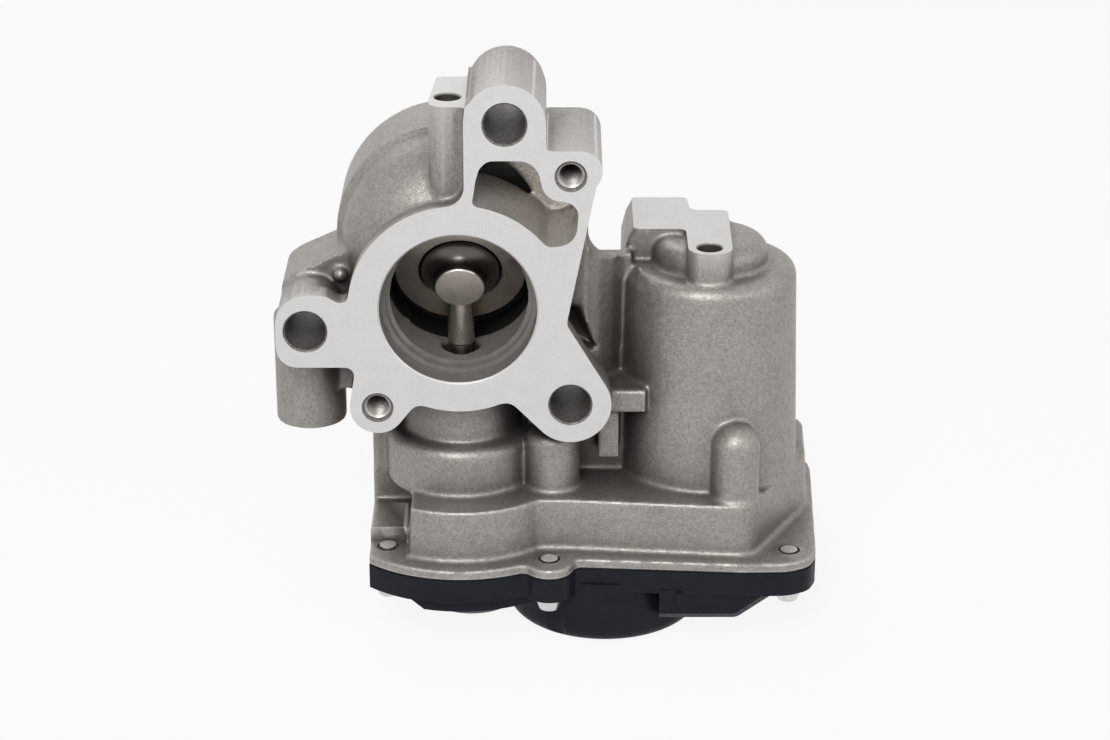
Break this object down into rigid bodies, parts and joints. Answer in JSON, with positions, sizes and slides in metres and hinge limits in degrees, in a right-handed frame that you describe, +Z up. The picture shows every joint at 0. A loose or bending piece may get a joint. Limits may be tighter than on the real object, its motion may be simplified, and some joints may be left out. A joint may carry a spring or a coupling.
{
  "type": "exhaust gas recirculation valve",
  "caption": "Motor-driven exhaust valve: flanged cast body with a round and a kidney port, an oblique flap on a geared shaft, motor pot, and a dark gear cover with a socket.",
  "frame": {"origin": "centre of the round gas port, in the plane of the mounting face", "axes": "+Y goes from the mounting face into the body, +Z is up along the valve shaft, +X is to the right, towards the motor, seen from the mounting face"},
  "size_m": [0.124, 0.079, 0.13],
  "materials": {
    "cast_aluminium": "as cast, shot blasted, machined faces",
    "pressed_steel": "pressed",
    "seat_steel": "turned and polished, heat resistant",
    "shaft_steel": "ground",
    "spring_steel": "drawn",
    "zinc_steel": "zinc plated",
    "bushing_bronze": "sintered",
    "brass_gear": "hobbed",
    "copper": "turned",
    "tinned_brass": "tinned",
    "seal_rubber": "moulded",
    "cover_plastic": "satin, glass filled",
    "cap_plastic": "matt",
    "gear_plastic": "moulded",
    "ferrite": "sintered",
    "carbon": "pressed carbon",
    "armature_iron": "laminated, varnished",
    "board_green": "solder mask"
  },
  "bodies": {
    "housing": {"valve_body": "cast_aluminium", "core_plug": "pressed_steel", "seat_ring": "seat_steel", "shaft_bushing": "bushing_bronze", "shaft_seal": "seal_rubber", "shaft_bearing": "shaft_steel", "spring_guide": "gear_plastic", "return_spring": "spring_steel", "intermediate_axle": "shaft_steel", "motor_can": "zinc_steel", "motor_end_cap": "cover_plastic", "motor_plate": "zinc_steel", "motor_magnets": "ferrite", "brushes": "carbon", "brush_card": "cover_plastic", "wave_washer": "spring_steel", "motor_bushing_top": "bushing_bronze", "motor_bushing_low": "bushing_bronze", "motor_screws": "zinc_steel", "cover_gasket": "seal_rubber", "cover": "cover_plastic", "connector_pins": "tinned_brass", "sensor_board": "board_green", "sensor_cap": "cap_plastic", "cover_screws": "zinc_steel"},
    "flap_shaft": {"flap": "seat_steel", "valve_shaft": "shaft_steel", "gear_insert": "shaft_steel", "sector_gear": "gear_plastic", "sensor_magnet": "ferrite"},
    "idler": {"intermediate_gear": "gear_plastic"},
    "rotor": {"motor_shaft": "shaft_steel", "motor_pinion": "brass_gear", "armature": "armature_iron", "commutator": "copper"}
  },
  "joints": [
    {"name": "rotor_turn", "type": "hinge", "parent": "housing", "child": "rotor", "pos_m": [0.056, 0.0245, 0], "axis": [0, 0, 1], "range_deg": [0, 767.6]},
    {"name": "flap_turn", "type": "hinge", "parent": "housing", "child": "flap_shaft", "pos_m": [0, 0.019, 0], "axis": [0, 0, 1], "range_deg": [0, 80], "stiffness_Nm_per_rad": 0.05, "springref_deg": -34.38},
    {"name": "idler_turn", "type": "hinge", "parent": "housing", "child": "idler", "pos_m": [0.03246, 0.0165, 0], "axis": [0, 0, 1], "range_deg": [-245, 0]}
  ],
  "couplings": [
    {"joint": "flap_turn", "follows": "rotor_turn", "ratio": 0.10421},
    {"joint": "idler_turn", "follows": "rotor_turn", "ratio": -0.31915}
  ]
}
